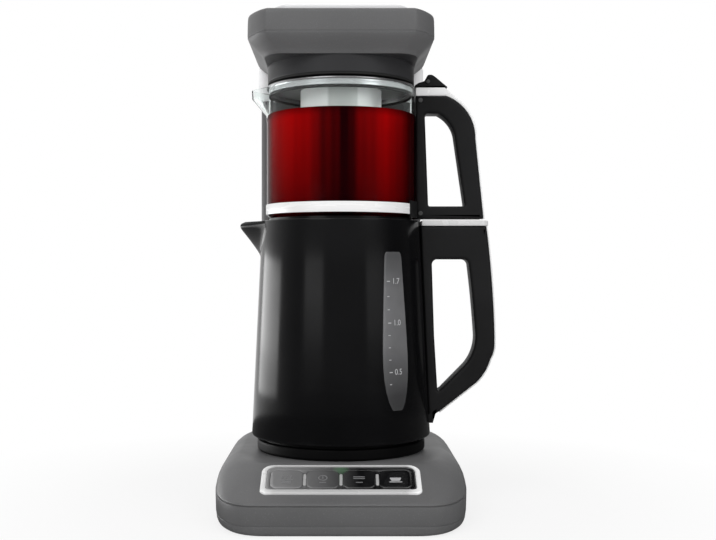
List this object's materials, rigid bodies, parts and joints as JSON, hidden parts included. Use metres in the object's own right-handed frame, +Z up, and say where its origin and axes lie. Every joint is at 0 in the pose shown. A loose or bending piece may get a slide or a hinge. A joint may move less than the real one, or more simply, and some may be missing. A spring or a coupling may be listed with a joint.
{
  "type": "automatic tea maker",
  "caption": "Countertop tea maker: glass teapot on a cordless kettle, docked under a shower head on a column, with a sloped button panel.",
  "frame": {"origin": "on the standing surface, under the middle of the machine's bounding box", "axes": "+Z up; -Y is the front, with the button panel; +X is the side of the handles, -X the side of the spouts"},
  "size_m": [0.23, 0.254, 0.406],
  "materials": {
    "grey_housing": "satin",
    "pale_housing": "satin",
    "dark_housing": "satin",
    "black_gloss": "gloss",
    "black_satin": "satin",
    "rubber": "matte",
    "chrome": "polished",
    "steel": "brushed",
    "glass": "clear",
    "window": "smoked",
    "silicone": "translucent",
    "circuit": "solder resist",
    "led": "lit",
    "tea": "liquid"
  },
  "bodies": {
    "base": {"base_tray": "grey_housing", "base_cover": "grey_housing", "rubber_feet": "rubber", "base_screws": "steel", "cord_gland": "black_satin", "power_board": "circuit", "panel_bezel": "chrome", "panel_plate": "black_gloss", "status_led": "led", "control_board": "circuit", "tact_switches": "circuit", "column_front": "grey_housing", "column_back": "grey_housing", "column_screws": "steel", "column_collar": "pale_housing", "pump_housing": "dark_housing", "pump_motor": "steel", "pump_cradle": "dark_housing", "dock_nozzle": "silicone", "dock_contacts": "black_satin", "inlet_hose": "rubber", "riser_tube": "silicone", "head_lower_shell": "grey_housing", "head_shell": "grey_housing", "head_top_plate": "pale_housing", "head_neck": "dark_housing", "neck_gasket": "rubber", "shower_head": "black_satin"},
    "button_1": {"button_1": "black_gloss"},
    "button_2": {"button_2": "black_gloss"},
    "button_3": {"button_3": "black_gloss"},
    "button_4": {"button_4": "black_gloss"},
    "impeller": {"pump_impeller": "black_satin", "motor_shaft": "steel"},
    "kettle": {"kettle_body": "black_gloss", "water_window": "window", "kettle_base_ring": "black_satin", "heater_plate": "steel", "heater_element": "steel", "boil_dry_thermostat": "steel", "dock_socket": "black_satin", "socket_valve": "black_satin", "kettle_contacts": "black_satin", "kettle_spout": "black_gloss", "spout_filter": "steel", "kettle_lid": "black_gloss", "lid_seal": "rubber", "jug_stop_rim": "black_satin", "kettle_handle": "black_satin", "kettle_handle_trim": "chrome", "kettle_handle_plate": "chrome"},
    "jug": {"jug_glass": "glass", "spout_strainer": "steel", "jug_band": "chrome", "jug_handle": "black_satin", "jug_handle_trim": "chrome", "jug_handle_screws": "steel", "lid_lever": "black_satin", "lid_hinge_pin": "steel", "jug_lid": "black_satin"}
  },
  "joints": [
    {"name": "kettle_pull", "type": "slide", "parent": "base", "child": "kettle", "axis": [0, -1, 0], "range_m": [0, 0.2]},
    {"name": "jug_pull", "type": "slide", "parent": "kettle", "child": "jug", "axis": [0, -1, 0], "range_m": [0, 0.16]},
    {"name": "button_1_press", "type": "slide", "parent": "base", "child": "button_1", "axis": [0, 0.3885, -0.9215], "range_m": [0, 0.001], "stiffness_N_per_m": 900, "springref_m": -0.0004},
    {"name": "button_2_press", "type": "slide", "parent": "base", "child": "button_2", "axis": [0, 0.3885, -0.9215], "range_m": [0, 0.001], "stiffness_N_per_m": 900, "springref_m": -0.0004},
    {"name": "button_3_press", "type": "slide", "parent": "base", "child": "button_3", "axis": [0, 0.3885, -0.9215], "range_m": [0, 0.001], "stiffness_N_per_m": 900, "springref_m": -0.0004},
    {"name": "button_4_press", "type": "slide", "parent": "base", "child": "button_4", "axis": [0, 0.3885, -0.9215], "range_m": [0, 0.001], "stiffness_N_per_m": 900, "springref_m": -0.0004},
    {"name": "impeller_spin", "type": "hinge", "parent": "base", "child": "impeller", "pos_m": [-0.04195, 0.099, 0.024], "axis": [1, 0, 0], "continuous": true}
  ]
}
